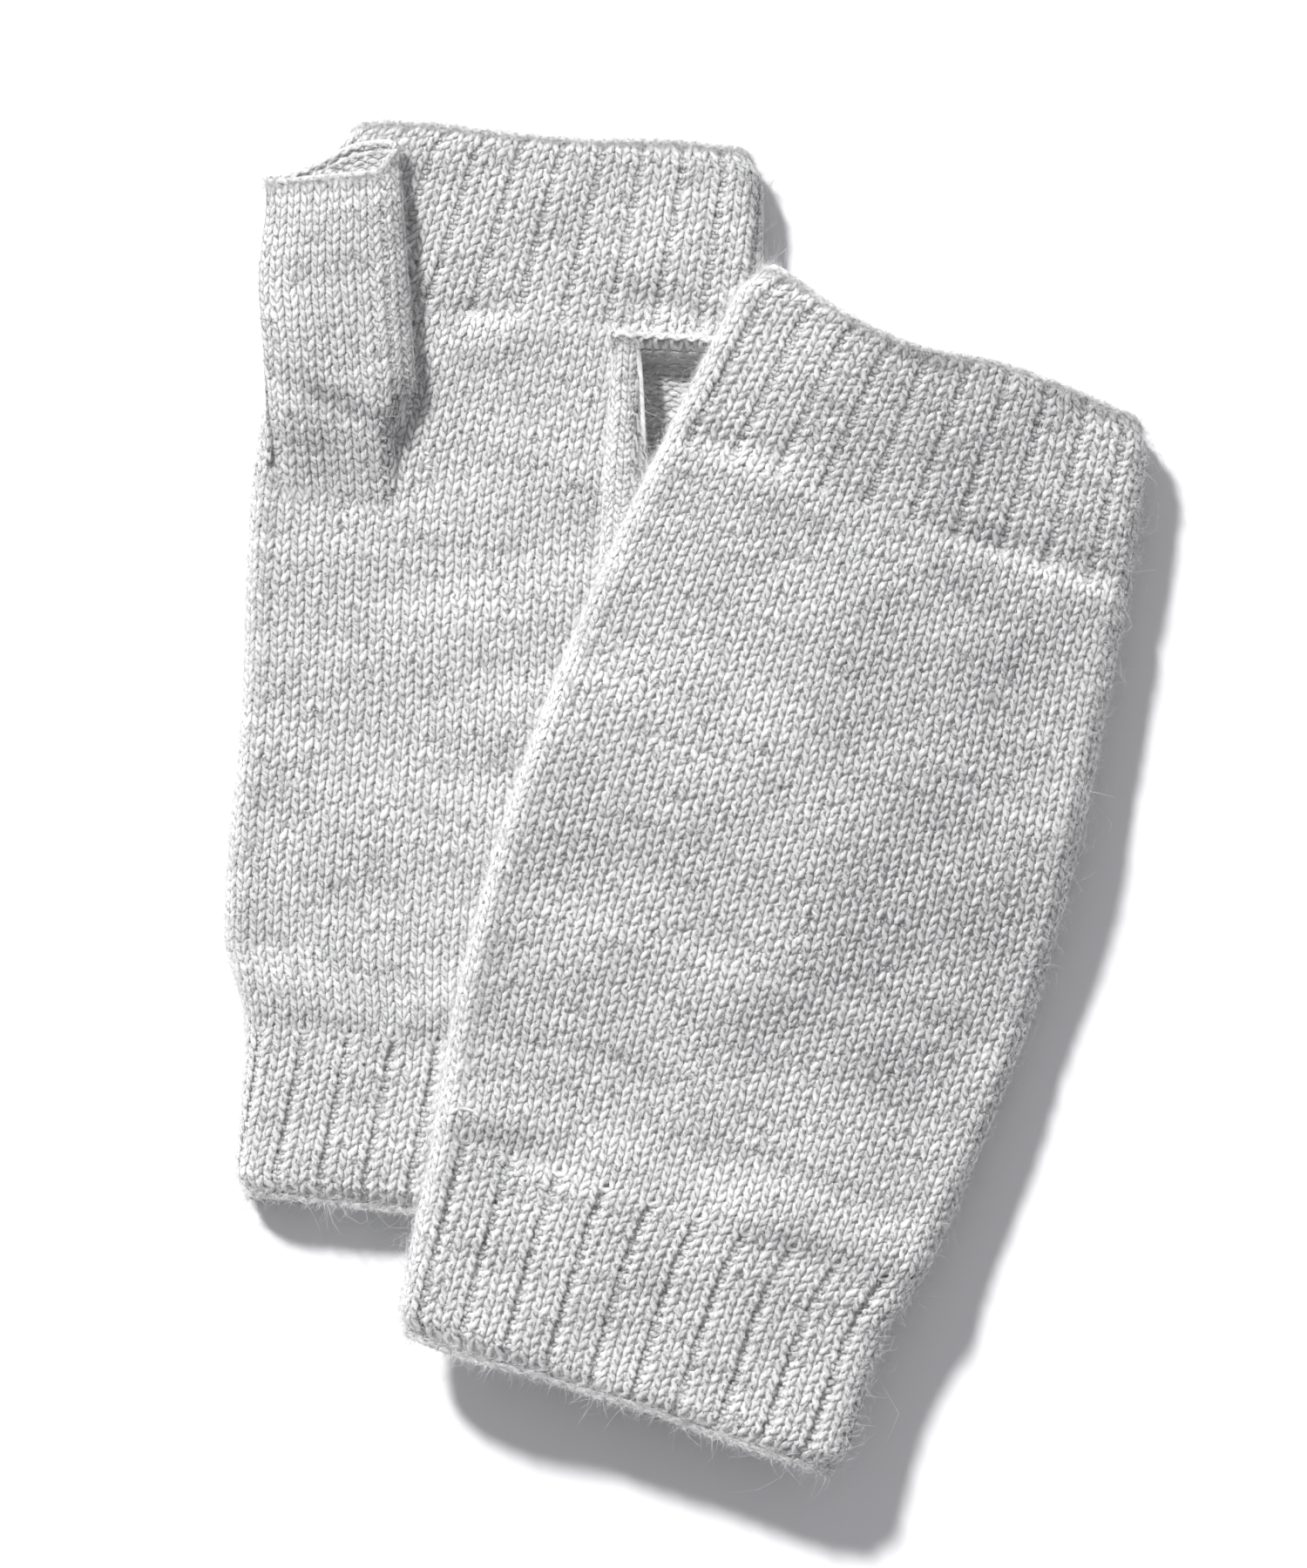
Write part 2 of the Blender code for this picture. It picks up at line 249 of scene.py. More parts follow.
def hand_point(side, wale, along):
    """Outer face of the hand at a wale and a distance along the glove."""
    g = GLOVES[side]
    low, high = through(g["thumb_side"], along), through(g["outer_side"], along)
    to_rim = np.minimum(along - g["wrist_edge"], FINGER_EDGE - along)
    narrow = RIM_ROUND * (1 - smooth_step(to_rim / 7.0)) ** 2
    low, high = low + narrow, high - narrow
    table = np.linspace(g["wrist_edge"] - 4, FINGER_EDGE + 4, 120)
    drift = np.cumsum(np.tan(np.radians(through(g["bias"], table)))) * (table[1] - table[0])
    drift -= np.interp(0.0, table, drift)
    round_the_tube = 2 * (high - low) + 9.6
    q = wale / HAND_WALES + np.interp(along, table, drift) / round_the_tube
    across, z = flattened(q, low, high, HAND_THICK)
    rim_waves = waves(31 if side == "left" else 32, wale * 2.9, along * 0, 50)
    along = along + 0.5 * rim_waves * smooth_step(1 - to_rim / 25)
    top = smooth_step((z / HAND_THICK - 0.5) * 2)
    towards_fingers = smooth_step((along - FINGER_RIB_FOOT) / (FINGER_EDGE - FINGER_RIB_FOOT))
    dip = g["rim_dip"] * ridge(across, -13.0, 17.0) + 1.2 * (1 - top)
    along = along - towards_fingers * (dip + g["end_slant"] * across / (high - low))
    z = z + top * hand_relief(side, across, along)
    x, y = to_world(g["middle"], g["lean"], across, along)
    return np.stack([x, y, z + rest_height(side, x, y)], -1)


def thumb_point(side, wale, up):
    """Outer face of the thumb tube at a wale, from up = 0 at its root to THUMB_KNIT at its open end.

    The far wall starts lower down, under the hand's surface, so the root has no edge.
    """
    g = GLOVES[side]
    across, b = flattened(wale / THUMB_WALES, -THUMB_WIDTH / 2, THUMB_WIDTH / 2, THUMB_THICK)
    far = b / THUMB_THICK                      # 0 on the wall next to the hand, 1 on the other
    u = across / THUMB_WIDTH + 0.5             # 0 at the low fold, 1 at the fold towards the palm
    if side == "left":
        inner_fold = smooth_step((u - 0.72) / 0.26)
        start = 5.5 - 20.0 * far * (1 - 0.9 * inner_fold)
        near_end = 49.0 + 5.0 * smooth_step((u - 0.1) / 0.7)
        far_end = 48.0 + 0.5 * u + 3.0 * smooth_step((u - 0.8) / 0.18)
        end = (1 - far) * near_end + far * far_end
    else:
        start = 5.5 - 15.0 * far
        end = THUMB_LENGTH - g["mouth_cut"] * (1 - far) * smooth_step((u - 0.14) / 0.14)
    along = start + (end - start) * up / THUMB_KNIT
    if side == "left":
        clear = HAND_THICK + GAP
        across = across + (1 - u) * (1.3 + 2.7 * smooth_step((along - 28) / 20))
        rise = -0.14 + 1.14 * smooth_step((along - start) / (28.0 - 21.0 * inner_fold))
        z = 0.72 * b * rise * (1 - 0.10 * inner_fold - 0.3 * smooth_step((0.3 - u) / 0.3))
        z *= 1 - 0.3 * smooth_step((along - 40) / 10)
        crease = hump(across, along, (-1.5, 6.5), (13, 2.6), -28) + hump(across, along, (12, 0), (2.5, 2.5))
        z -= far * (0.40 * waves(21, across, along, 30) + 1.1 * crease)
    else:
        clear = RAISE + LIFT - GAP
        z = 0.88 * b * (0.25 + 0.75 * smooth_step((along - start) / 12.0))
        z *= 1 - 0.85 * far * smooth_step((along - 42.0) / 5.0)
    x, y = to_world(g["thumb_root"], g["thumb_lean"], across, along)
    return np.stack([x, y, clear + g["up"] * z], -1)


def laid(point, wale, along, height, flip=1.0):
    """Places chart points onto a surface. Gives the points and the outward directions there."""
    step = 0.03
    p = point(wale, along)
    dw = point(wale + step, along) - point(wale - step, along)
    da = point(wale, along + step) - point(wale, along - step)
    n = np.cross(dw, da) * flip
    n /= np.maximum(np.linalg.norm(n, axis=-1, keepdims=True), 1e-9)
    return p + n * np.asarray(height)[..., None], n


# ---------------------------------------------------------------- stitches

# Right half of one loop: wales from its middle, courses towards the wrist, mm towards the face.
HALF_LOOP = ((0.50, -0.34, -0.22), (0.30, -0.34, -0.20), (0.13, -0.20, 0.00), (0.15, 0.02, 0.15),
             (0.27, 0.34, 0.19), (0.38, 0.72, 0.10), (0.30, 1.06, -0.12), (0.00, 1.18, -0.20))
LOOSE = (0.045, 0.08, 0.05)   # how far one loop strays, in the same units
UNEVEN = 0.09                 # how much one loop's thickness strays


def loop_shape(count):
    """One loop as count points from its left foot to just before its right foot."""
    half = np.array(HALF_LOOP)
    whole = np.concatenate([half * (-1, 1, 1), half[-2::-1]])
    knots = np.linspace(0, 1, len(whole))
    t = np.arange(count) / count
    padded = np.concatenate([whole[-2:-1] - (1, 0, 0), whole, whole[1:2] + (1, 0, 0)])
    i = np.clip((t * (len(whole) - 1)).astype(int), 0, len(whole) - 2)
    f = (t - knots[i]) * (len(whole) - 1)
    a, b, c, d = (padded[i + k] for k in range(4))
    f = f[:, None]
    return 0.5 * (2 * b + (c - a) * f + (2 * a - 5 * b + 4 * c - d) * f ** 2
                  + (3 * b - a - 3 * c + d) * f ** 3)


def course_chart(course, wales, fine, coarse, seed, rib):
    """Chart points of one course: wale, courses from the finger edge, height and thickness.

    The first half of the wales lies on the upper face and gets more points. rib is how much deeper
    every third wale lies, which is purled and shows its back, or 0 in plain knit. The two knitted wales
    beside it close over it.
    """
    r = np.random.default_rng([seed, int(course * 10) + 50])
    rows = []
    shapes = {fine: loop_shape(fine), coarse: loop_shape(coarse)}
    for w in range(wales):
        shape = shapes[fine if w < wales // 2 + 1 else coarse].copy()
        middle, wide = w + 0.5, 1.0
        if rib:
            turn = w % 3
            middle += (-RIB_CLOSE / 2, RIB_CLOSE / 2, 0.0)[turn]
            wide = (1 + RIB_CLOSE, 1 + RIB_CLOSE, 1 - 2 * RIB_CLOSE)[turn]
            if turn == 2:
                shape[:, 2] = -shape[:, 2] - rib * (1 + 0.3 * math.sin(w * 1.7 + course * 0.45))
        loose = r.normal(0, 1, 3) * LOOSE
        body = 1 - np.abs(shape[:, 0]) * 0.6
        rows.append(np.stack([
            middle + shape[:, 0] * wide + loose[0] * body,
            course + shape[:, 1] + loose[1] * body,
            shape[:, 2] + loose[2] * body,
            1 + r.normal(0, UNEVEN) + 0 * shape[:, 0]], -1))
    return np.concatenate(rows)


# ---------------------------------------------------------------- meshes

def mesh_object(name, verts, faces, mat, uvs=(), normals=None):
    """Smooth mesh from arrays: verts in mm, faces as quads or triangles.

    uvs are (name, pairs), with a pair for each vertex or for each corner of each face.
    """
    faces = np.asarray(faces, np.int32)
    mesh = bpy.data.meshes.new(name)
    mesh.vertices.add(len(verts))
    verts = np.array(verts, float)
    verts[:, 2] = np.maximum(verts[:, 2], TABLE)
    mesh.vertices.foreach_set("co", (verts * MM).ravel())
    mesh.loops.add(faces.size)
    mesh.loops.foreach_set("vertex_index", faces.ravel())
    mesh.polygons.add(len(faces))
    corners = faces.shape[1]
    mesh.polygons.foreach_set("loop_start", np.arange(len(faces), dtype=np.int32) * corners)
    mesh.polygons.foreach_set("loop_total", np.full(len(faces), corners, np.int32))
    mesh.polygons.foreach_set("use_smooth", np.ones(len(faces), bool))
    for uv_name, pairs in uvs:
        layer = mesh.uv_layers.new(name=uv_name)
        pairs = np.asarray(pairs, float)
        layer.data.foreach_set("uv", (pairs if pairs.ndim == 3 else pairs[faces]).ravel())
    mesh.materials.append(mat)
    mesh.update(calc_edges=True)
    if normals is not None:
        mesh.normals_split_custom_set_from_vertices(normals)
    obj = bpy.data.objects.new(name, mesh)
    bpy.context.scene.collection.objects.link(obj)
    return obj


def tube_arrays(path, out, radius, sides, closed, flat=1.0):
    """Round tube along a path. out is a direction per point that the ring is measured from.

    Gives verts, faces, (length along in mm, fraction round) per corner, and normals that lean
    away from the cloth, since the fuzz on a yarn scatters light over its whole width.
    """
    n = len(path)
    if closed:
        tangent = np.roll(path, -1, 0) - np.roll(path, 1, 0)
        step = np.linalg.norm(np.roll(path, -1, 0) - path, axis=1)
    else:
        tangent = np.gradient(path, axis=0)
        step = np.append(np.linalg.norm(np.diff(path, axis=0), axis=1), 0)
    tangent /= np.maximum(np.linalg.norm(tangent, axis=1, keepdims=True), 1e-9)
    side = np.cross(tangent, out)
    side /= np.maximum(np.linalg.norm(side, axis=1, keepdims=True), 1e-9)
    up = np.cross(side, tangent)
    length = np.concatenate([[0], np.cumsum(step)[:-1]])
    angle = math.tau * np.arange(sides) / sides
    ring = (np.cos(angle)[None, :, None] * up[:, None] * flat
            + np.sin(angle)[None, :, None] * side[:, None])
    verts = path[:, None] + ring * np.broadcast_to(radius, (n,))[:, None, None]
    lean = SOFT * np.clip(1.5 * np.cos(angle), -1, 1)[None, :, None]
    normals = ring / flat * (1 - SOFT) + out[:, None] * lean
    normals /= np.linalg.norm(normals, axis=-1, keepdims=True)
    k = np.arange(n if closed else n - 1)[:, None]
    i = np.arange(sides)[None, :]
    a = k * sides + i
    b = k * sides + (i + 1) % sides
    c = ((k + 1) % n) * sides + (i + 1) % sides
    d = ((k + 1) % n) * sides + i
    faces = np.stack([a, b, c, d], -1).reshape(-1, 4)
    after = np.append(length[1:], length[-1] + step[-1])[:len(k)]
    near, far = np.broadcast_arrays(length[:len(k), None], after[:, None])
    near, far, low, high = np.broadcast_arrays(near, far, i / sides, (i + 1) / sides)
    uv = np.stack([np.stack([near, low], -1), np.stack([near, high], -1),
                   np.stack([far, high], -1), np.stack([far, low], -1)], 2).reshape(-1, 4, 2)
    return verts.reshape(-1, 3), faces, uv, normals.reshape(-1, 3)


def gather(parts):
    """Joins (verts, faces, uv, normals, cloth uv) parts into one set of arrays."""
    verts, faces, uv, normals, cloth = map(list, zip(*parts))
    starts = np.cumsum([0] + [len(v) for v in verts[:-1]])
    faces = [f + start for f, start in zip(faces, starts)]
    return [np.concatenate(a) for a in (verts, faces, uv, normals, cloth)]


def knitting(name, point, first, last, wales, to_along, rib, mat, flip, seed, fine=12, coarse=8):
    """Courses first to last of a knitted tube as one piece."""
    parts = []
    for course in range(first, last):
        chart = course_chart(course, wales, fine, coarse, seed, rib(course))
        path, out = laid(point, chart[:, 0], to_along(chart[:, 1]), MID_PLANE + chart[:, 2], flip)
        radius = YARN_R * chart[:, 3]
        verts, faces, uv, normals = tube_arrays(path, out, radius, YARN_SIDES, True, YARN_FLAT)
        cloth = np.repeat(chart[:, :2] + (0, STREAK_SHIFT * (seed - 3)), YARN_SIDES, axis=0)
        parts.append((verts, faces, uv + (course * 37.0, 0), normals, cloth))
    verts, faces, uv, normals, cloth = gather(parts)
    return mesh_object(name, verts, faces, mat, (("yarn", uv), ("cloth", cloth)), normals)


def backing(name, point, low, high, rows, columns, wales, flip, gutter=0.0):
    """Thin closed sheet at the middle of the loops, all round a tube, deeper under purled wales."""
    wale = np.linspace(0, wales, columns, endpoint=False)
    along = np.linspace(low, high, rows)
    w, v = (a.ravel() for a in np.meshgrid(wale, along))
    plane = GROUND_PLANE - gutter * np.exp(-((w % 3 - 2.5) / 0.45) ** 2)
    outer, _ = laid(point, w, v, plane + GROUND_HALF, flip)
    inner, _ = laid(point, w, v, plane - GROUND_HALF, flip)
    count = rows * columns
    k = np.arange(rows - 1)[:, None] * columns
    i = np.arange(columns)[None, :]
    j = (i + 1) % columns
    skin = np.stack([k + i, k + j, k + columns + j, k + columns + i], -1).reshape(-1, 4)
    i, j = i.ravel(), j.ravel()
    top = (rows - 1) * columns
    rims = np.concatenate([np.stack([i, i + count, j + count, j], -1),
                           np.stack([top + j, top + j + count, top + i + count, top + i], -1)])
    faces = np.concatenate([skin, skin[:, ::-1] + count, rims])
    faces = faces if flip > 0 else faces[:, ::-1]
    cloth = np.tile(np.stack([w, v / COURSE], -1), (2, 1))
    uvs = (("yarn", cloth), ("cloth", cloth))
    return mesh_object(name, np.concatenate([outer, inner]), faces, SHADE_GROUND, uvs)


def bound_edge(name, point, along_at, wales, flip):
    """Edge chain: an outer and an inner strand that cross once at each wale of the rim."""
    parts = []
    points_per_wale, sides = 10, 6
    t = np.arange(wales * points_per_wale) / points_per_wale
    for side in (1, -1):
        turn = math.tau * t
        wale = t + 0.10 * np.sin(turn) * side
        along = along_at + 0.22 * np.cos(turn) * side
        height = MID_PLANE - 0.1 + side * (0.20 + 0.08 * np.cos(turn))
        path, out = laid(point, wale, along, height, flip)
        radius = EDGE_R * (1 + 0.12 * np.sin(turn + side))
        verts, faces, uv, normals = tube_arrays(path, out, radius, sides, True)
        cloth = np.repeat(np.stack([wale, along / COURSE], -1), sides, axis=0)
        parts.append((verts, faces, uv, normals, cloth))
    verts, faces, uv, normals, cloth = gather(parts)
    return mesh_object(name, verts, faces, EDGE_YARN, (("yarn", uv), ("cloth", cloth)), normals)


def strand(name, points, radius, smooth=6):
    """Yarn strand through a few points, closed at both ends."""
    points = np.array(points, float)
    t = np.linspace(0, len(points) - 1, (len(points) - 1) * smooth + 1)
    knots = np.arange(len(points))
    path = np.stack([through(list(zip(knots, points[:, k])), t) for k in range(3)], -1)
    taper = np.ones(len(path))
    taper[0] = taper[-1] = 0.25
    sides = 8
    out = np.tile((0.0, 0.0, 1.0), (len(path), 1))
    verts, faces, uv, _ = tube_arrays(path, out, radius * taper, sides, False)
    caps = np.array([[0, 1, 2, 3], [0, 3, 4, 7], [4, 5, 6, 7]])
    last = len(verts) - sides
    faces = np.concatenate([faces, caps[:, ::-1], caps + last])
    uv = np.concatenate([uv, np.zeros((6, 4, 2))])
    return mesh_object(name, verts, faces, EDGE_YARN, (("yarn", uv), ("cloth", uv * 0.3)))


def hairs(name, paths, side, out):
    """Closed, tapered, three-sided hairs: paths are (hair, step, xyz)."""
    count, steps, _ = paths.shape
    taper = FIBRE_R * np.linspace(1.0, 0.3, steps)[None, :, None]
    verts = np.empty((count, steps, 3, 3))
    for k in range(3):
        a = math.tau * k / 3
        verts[:, :, k] = paths + (out * math.cos(a) + side * math.sin(a))[:, None] * taper
    base = (np.arange(count) * steps * 3)[:, None, None]
    s = (np.arange(steps - 1) * 3)[None, :, None]
    k = np.arange(3)[None, None, :]
    n = (k + 1) % 3
    start = base + s
    quads = np.stack(np.broadcast_arrays(start + k, start + n, start + 3 + n, start + 3 + k), -1)
    quads = quads.reshape(-1, 4)
    tris = np.concatenate([quads[:, [0, 1, 2]], quads[:, [0, 2, 3]], base[:, 0] + [[2, 1, 0]],
                           base[:, 0] + (steps - 1) * 3 + [[0, 1, 2]]])
    return mesh_object(name, verts.reshape(-1, 3), tris, FIBRE)


def fuzz(name, point, wales, low, high, kind, flip, seed, standing, steps=3):
    """Loose fibres over part of a tube. Most lie on the stitches, the given share stands out."""
    count = FIBRE_COUNTS[kind]
    r = np.random.default_rng(seed)
    wale, along = wales[0] + r.random(count) * (wales[1] - wales[0]), r.uniform(low, high, count)
    root, n = laid(point, wale, along, MID_PLANE + r.uniform(0.25, 0.62, count), flip)
    up = r.random(count) < standing
    size = np.where(up, 1.25, 2.0) * r.lognormal(0, 0.4, count)
    size[r.random(count) < 0.025 * (1 + 2 * up)] *= 3.0
    lie = np.cross(n, r.normal(0, 1, (count, 3)))
    lie /= np.linalg.norm(lie, axis=1, keepdims=True)
    side = np.cross(n, lie)
    rise = np.where(up, r.uniform(0.25, 0.85, count), r.uniform(-0.02, 0.16, count))
    bend = r.normal(0, 0.6, count)
    t = np.linspace(0, 1, steps)[None, :, None]
    paths = root[:, None] + size[:, None, None] * (
        lie[:, None] * (t - 0.2 * t ** 3) + side[:, None] * bend[:, None, None] * t * t
        + n[:, None] * rise[:, None, None] * np.sin(t * 2.2) * 0.9)
    paths[..., 2] = np.maximum(paths[..., 2], FIBRE_TABLE)
    return hairs(name, paths, side, n)


# ---------------------------------------------------------------- materials

def new_material(name, roughness, sheen=0.0, sheen_roughness=0.5):
    """Plain fabric shader: rough, with sheen and no gloss to speak of."""
    mat = bpy.data.materials.new(name)
    mat.use_nodes = True
    shader = mat.node_tree.nodes["Principled BSDF"]
    shader.inputs["Roughness"].default_value = roughness
    shader.inputs["Specular IOR Level"].default_value = 0.25
    shader.inputs["Sheen Weight"].default_value = sheen
    shader.inputs["Sheen Roughness"].default_value = sheen_roughness
    return mat, mat.node_tree, shader


def link(tree, a, b):
    """Join two sockets."""
    tree.links.new(a, b)


def math_node(tree, operation, a, b=0.0):
    """One arithmetic step on sockets or numbers."""
    node = tree.nodes.new("ShaderNodeMath")
    node.operation = operation
    for socket, value in zip(node.inputs, (a, b)):
        if hasattr(value, "is_linked"):
            tree.links.new(value, socket)
        else:
            socket.default_value = value
    return node.outputs[0]


def uv_stretched(tree, layer, scale, location=(0, 0, 0)):
    """A chart's coordinates, scaled and shifted."""
    uv = tree.nodes.new("ShaderNodeUVMap")
    uv.uv_map = layer
    mapping = tree.nodes.new("ShaderNodeMapping")
    mapping.inputs["Scale"].default_value = scale
    mapping.inputs["Location"].default_value = location
    link(tree, uv.outputs["UV"], mapping.inputs["Vector"])
    return mapping.outputs["Vector"]


def noise(tree, vector, scale=1.0, detail=2.0, rough=0.5):
    """Smooth noise at the given coordinates."""
    node = tree.nodes.new("ShaderNodeTexNoise")
    node.inputs["Scale"].default_value = scale
    node.inputs["Detail"].default_value = detail
    node.inputs["Roughness"].default_value = rough
    link(tree, vector, node.inputs["Vector"])
    return node.outputs["Fac"]


def ramp(tree, fac, stops):
    """Colour for a value, from (value, grey or colour) stops."""
    node = tree.nodes.new("ShaderNodeValToRGB")
    while len(node.color_ramp.elements) < len(stops):
        node.color_ramp.elements.new(0.5)
    for element, (at, grey) in zip(node.color_ramp.elements, stops):
        element.position = at
        element.color = (*grey, 1) if isinstance(grey, tuple) else (grey, grey, grey, 1)
    link(tree, fac, node.inputs["Fac"])
    return node.outputs["Color"]


def bump(tree, height, distance, below=None):
    """Fine relief of a height, in metres, on top of another normal."""
    node = tree.nodes.new("ShaderNodeBump")
    node.inputs["Strength"].default_value = 1.0
    node.inputs["Distance"].default_value = distance
    link(tree, height, node.inputs["Height"])
    if below is not None:
        link(tree, below, node.inputs["Normal"])
    return node.outputs["Normal"]


def weighted(tree, terms):
    """Sum of (value, weight) terms."""
    scaled = [math_node(tree, "MULTIPLY", value, weight) for value, weight in terms]
    total = scaled[0]
    for term in scaled[1:]:
        total = math_node(tree, "ADD", total, term)
    return total


def cloth_clouds(tree):
    """Cloudy streaks, longer along the courses than across them."""
    return noise(tree, uv_stretched(tree, "cloth", (0.16, 0.42, 1)), 1.0, 2.5, 0.55)


def yarn_material(name, tone):
    """Two-ply melange yarn: light and grey fibres along the plies, cloudy streaks along the courses, and
    painted shade in the groove between the plies.
    """
    mat, tree, shader = new_material(name, 0.9, 0.2)
    turns = 1 / 4.4                                    # ply turns to the millimetre
    uv = tree.nodes.new("ShaderNodeUVMap")
    uv.uv_map = "yarn"
    parts = tree.nodes.new("ShaderNodeSeparateXYZ")
    link(tree, uv.outputs["UV"], parts.inputs["Vector"])
    along, around = parts.outputs["X"], parts.outputs["Y"]
    turned = math_node(tree, "ADD", around, math_node(tree, "MULTIPLY", along, turns))
    angle = math_node(tree, "MULTIPLY", turned, math.tau)
    ply = math_node(tree, "ABSOLUTE", math_node(tree, "SINE", angle))

    fibre_at = tree.nodes.new("ShaderNodeCombineXYZ")
    link(tree, math_node(tree, "MULTIPLY", along, 0.42), fibre_at.inputs["X"])
    link(tree, math_node(tree, "SINE", angle), fibre_at.inputs["Y"])
    link(tree, math_node(tree, "COSINE", angle), fibre_at.inputs["Z"])
    fibres = noise(tree, fibre_at.outputs["Vector"], 1.7, 3.0, 0.65)
    tufts = noise(tree, fibre_at.outputs["Vector"], 0.6, 1.0, 0.5)

    clouds = cloth_clouds(tree)
    bands = noise(tree, uv_stretched(tree, "cloth", (0.045, 0.16, 1), (31, 7, 0)), 1.0, 1.0, 0.5)

    # the ply term paints shade into the groove between the plies and light onto their crests
    mix = weighted(tree, ((fibres, 2.3), (tufts, 0.6), (clouds, 1.05), (bands, 0.5), (ply, 0.10)))
    colour = ramp(tree, math_node(tree, "SUBTRACT", mix, 1.74), [
        (0.10, (0.38 * tone, 0.38 * tone, 0.38 * tone)),
        (0.36, (0.64 * tone, 0.64 * tone, 0.64 * tone)),
        (0.58, (0.81 * tone, 0.81 * tone, 0.804 * tone)),
        (0.84, (0.88 * tone, 0.88 * tone, 0.872 * tone))])
    link(tree, colour, shader.inputs["Base Color"])

    rounded = bump(tree, ply, 0.10 * MM)
    fine = bump(tree, fibres, 0.12 * MM, rounded)
    shader.inputs["Subsurface Weight"].default_value = 0.9
    shader.inputs["Subsurface Radius"].default_value = (1.0, 1.0, 1.0)
    shader.inputs["Subsurface Scale"].default_value = 1.2 * MM
    link(tree, fine, shader.inputs["Normal"])
    return mat


def shade_backing_material(name):
    """The thin ground behind the loops, with the same clouds and a fine felted grain; it is painted darker
    than the yarn, as the shade seen in the gaps between stitches.
    """
    mat, tree, shader = new_material(name, 0.95, 0.1)
    grain = noise(tree, uv_stretched(tree, "cloth", (6, 9, 1)), 1.0, 3.0, 0.6)
    mix = weighted(tree, ((grain, 0.6), (cloth_clouds(tree), 0.4)))
    # darker grey than the yarn: painted shade for the gaps between the stitches
    link(tree, ramp(tree, mix, [(0.3, 0.50), (0.7, 0.70)]), shader.inputs["Base Color"])
    link(tree, bump(tree, grain, 0.15 * MM), shader.inputs["Normal"])
    return mat


def fibre_material(name):
    """Loose cashmere fibres, some white and some grey, made paler than their own colour as painted light
    for the glow of light passing through them.
    """
    mat, tree, shader = new_material(name, 0.6, 0.15, 0.3)
    coord = tree.nodes.new("ShaderNodeTexCoord")
    shade = noise(tree, coord.outputs["Object"], 900.0, 1.0, 0.5)
    # pale ramp: partly the fibres' own white and grey, partly painted light for their translucent glow
    link(tree, ramp(tree, shade, [(0.35, 0.66), (0.6, 0.97)]), shader.inputs["Base Color"])
    return mat


YARN = yarn_material("melange_yarn", 1.0)
RIB_YARN = yarn_material("melange_rib_yarn", 0.985)
EDGE_YARN = yarn_material("melange_edge_yarn", 1.02)
SHADE_GROUND = shade_backing_material("knit_ground_painted_shade")
FIBRE = fibre_material("loose_fibres")


# ---------------------------------------------------------------- the pieces of one glove

def show(obj, body, slot, *nodes):
    """Put a piece on its body and hide the CAD nodes it stands in for; slot is not used."""
    if nodes:
        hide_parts(*nodes)
    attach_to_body(obj, body)
    return obj


def hand(side):
    """All the pieces of one glove's hand: knit, grounds, edge chains and fibres."""
    g = GLOVES[side]
    body = side + "_hand"
    flip = 1.0

    def point(wale, along):
        return hand_point(side, wale, along)

    knitted = FINGER_EDGE - g["wrist_edge"] - 1.4
    total = round(knitted / COURSE) - 1
    step = knitted / (total + 0.7)

    def to_along(course):
        return FINGER_EDGE - 1.2 - course * step

    rib_end = round((FINGER_EDGE - FINGER_RIB_FOOT) / step)
    rib_start = round((FINGER_EDGE - WRIST_RIB_TOP) / step)

    def rib(course):
        return FINGER_RIB_DEPTH if course < rib_end else WRIST_RIB_DEPTH if course >= rib_start else 0.0

    seed = 3 if side == "left" else 4
    plain = rib_start - rib_end
    cuts = [("finger_rib_knit", 0, rib_end, RIB_YARN, "rib_knit"),
            ("hand_knit_fingers", rib_end, rib_end + plain // 3, YARN, "plain_knit"),
            ("hand_knit_middle", rib_end + plain // 3, rib_end + 2 * plain // 3, YARN, "plain_knit"),
            ("hand_knit_wrist", rib_end + 2 * plain // 3, rib_start, YARN, "plain_knit"),
            ("wrist_rib_knit", rib_start, total, RIB_YARN, "rib_knit")]
    for piece, first, last, mat, slot in cuts:
        obj = knitting(f"{side}_{piece}", point, first, last, HAND_WALES, to_along, rib, mat, flip, seed)
        show(obj, body, slot)

    rib_columns, plain_columns = 4 * HAND_WALES, 160
    grounds = [("wrist_rib", g["wrist_edge"] + 0.4, WRIST_RIB_TOP, 14, rib_columns, WRIST_RIB_DEPTH,
                ["wrist_rib_knit"]),
               ("hand_tube", WRIST_RIB_TOP, FINGER_RIB_FOOT, 48, plain_columns, 0.0,
                ["hand_knit_fingers", "hand_knit_middle", "hand_knit_wrist"]),
               ("finger_rib", FINGER_RIB_FOOT, FINGER_EDGE - 0.4, 14, rib_columns, FINGER_RIB_DEPTH,
                ["finger_rib_knit"])]
    for node, low, high, rows, columns, gutter, pieces in grounds:
        obj = backing(f"{side}_{node}_ground", point, low, high, rows, columns, HAND_WALES, flip, gutter)
        show(obj, body, "rib_knit" if gutter else "plain_knit", f"{side}_{node}")

    for node, at in (("wrist_edge", g["wrist_edge"] + 0.2), ("finger_edge", FINGER_EDGE - 0.2)):
        obj = bound_edge(f"{side}_{node}_chain", point, at, HAND_WALES, flip)
        show(obj, body, "edge_yarn", f"{side}_{node}")

    hand_fibres(side, point, flip, seed)


